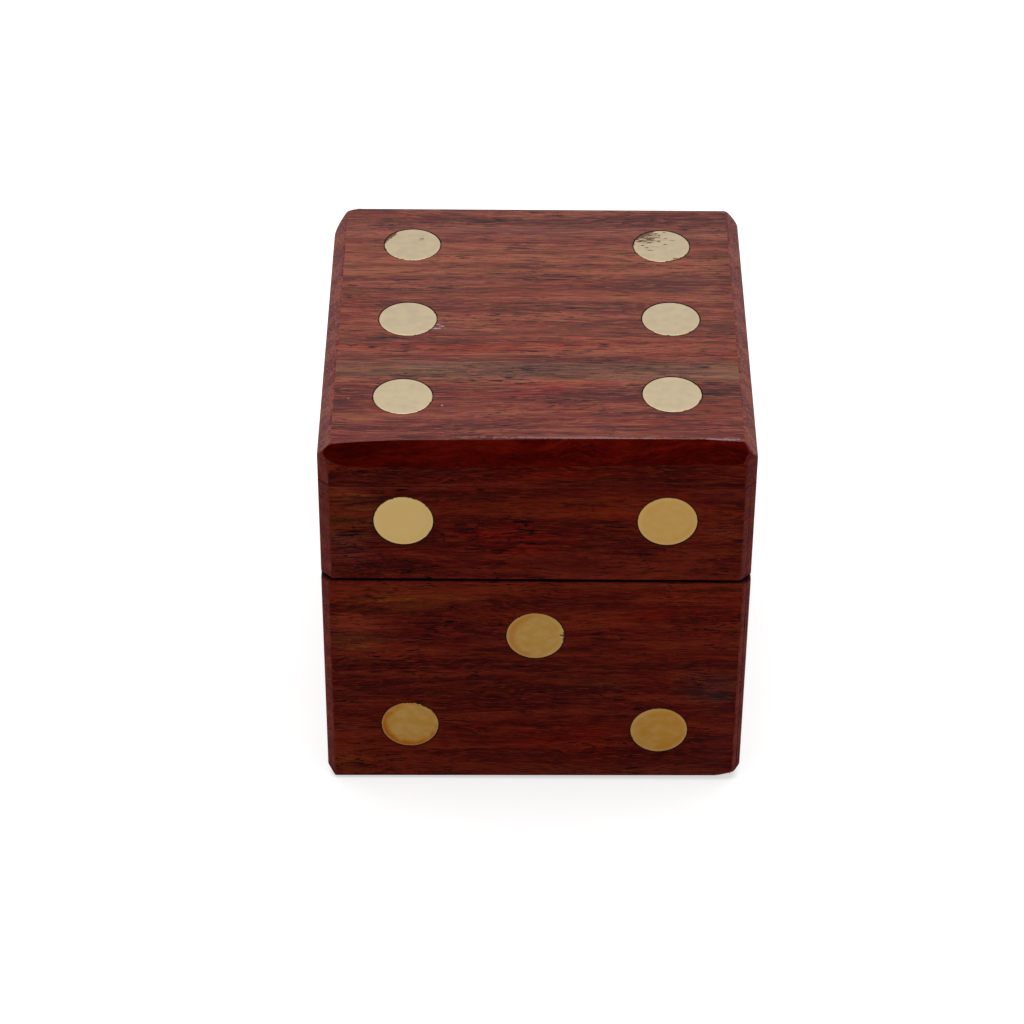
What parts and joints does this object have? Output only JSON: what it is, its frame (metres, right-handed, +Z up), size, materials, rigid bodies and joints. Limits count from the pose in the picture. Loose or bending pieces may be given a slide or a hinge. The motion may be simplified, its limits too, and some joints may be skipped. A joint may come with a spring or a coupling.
{
  "type": "dice box with hinged lid",
  "caption": "Small cube-shaped wooden box made like a large die, with inlaid brass dots and a lid on two butt hinges at the back.",
  "frame": {"origin": "middle of the underside of the box's base, on the surface that it stands on", "axes": "+X to the right across the front, +Y from the front to the hinges at the back, +Z up"},
  "size_m": [0.0636, 0.0667, 0.0635],
  "materials": {
    "rosewood_top": "satin oiled, red-brown with dark pores",
    "rosewood_wall": "satin oiled, deep red-brown with dark pores",
    "rosewood_panel": "bare sanded",
    "dot_brass": "satin, sanded flush, slightly stained",
    "hinge_brass": "stamped, lightly tarnished",
    "screw_brass": "plain, slotted"
  },
  "bodies": {
    "base": {"base_bottom_panel": "rosewood_panel", "base_front_wall": "rosewood_wall", "base_right_wall": "rosewood_wall", "base_back_wall": "rosewood_wall", "base_left_wall": "rosewood_wall", "front_dot_centre": "dot_brass", "front_dot_lower_left": "dot_brass", "front_dot_lower_right": "dot_brass", "right_dot_centre": "dot_brass", "right_dot_lower_front": "dot_brass", "back_dot_lower_right": "dot_brass", "left_dot_lower_front": "dot_brass", "left_dot_lower_back": "dot_brass", "bottom_dot": "dot_brass", "left_hinge_base_leaf": "hinge_brass", "left_hinge_pin": "hinge_brass", "left_hinge_base_screws": "screw_brass", "right_hinge_base_leaf": "hinge_brass", "right_hinge_pin": "hinge_brass", "right_hinge_base_screws": "screw_brass"},
    "lid": {"lid_top_panel": "rosewood_top", "lid_front_wall": "rosewood_wall", "lid_right_wall": "rosewood_wall", "lid_back_wall": "rosewood_wall", "lid_left_wall": "rosewood_wall", "top_dot_back_left": "dot_brass", "top_dot_middle_left": "dot_brass", "top_dot_front_left": "dot_brass", "top_dot_back_right": "dot_brass", "top_dot_middle_right": "dot_brass", "top_dot_front_right": "dot_brass", "front_dot_upper_left": "dot_brass", "front_dot_upper_right": "dot_brass", "right_dot_upper_back": "dot_brass", "back_dot_upper_left": "dot_brass", "left_dot_upper_front": "dot_brass", "left_dot_upper_back": "dot_brass", "left_hinge_lid_leaf": "hinge_brass", "left_hinge_lid_screws": "screw_brass", "right_hinge_lid_leaf": "hinge_brass", "right_hinge_lid_screws": "screw_brass"}
  },
  "joints": [
    {"name": "lid_hinge", "type": "hinge", "parent": "base", "child": "lid", "pos_m": [0, 0.03345, 0.03945], "axis": [-1, 0, 0], "range_deg": [0, 180]}
  ]
}
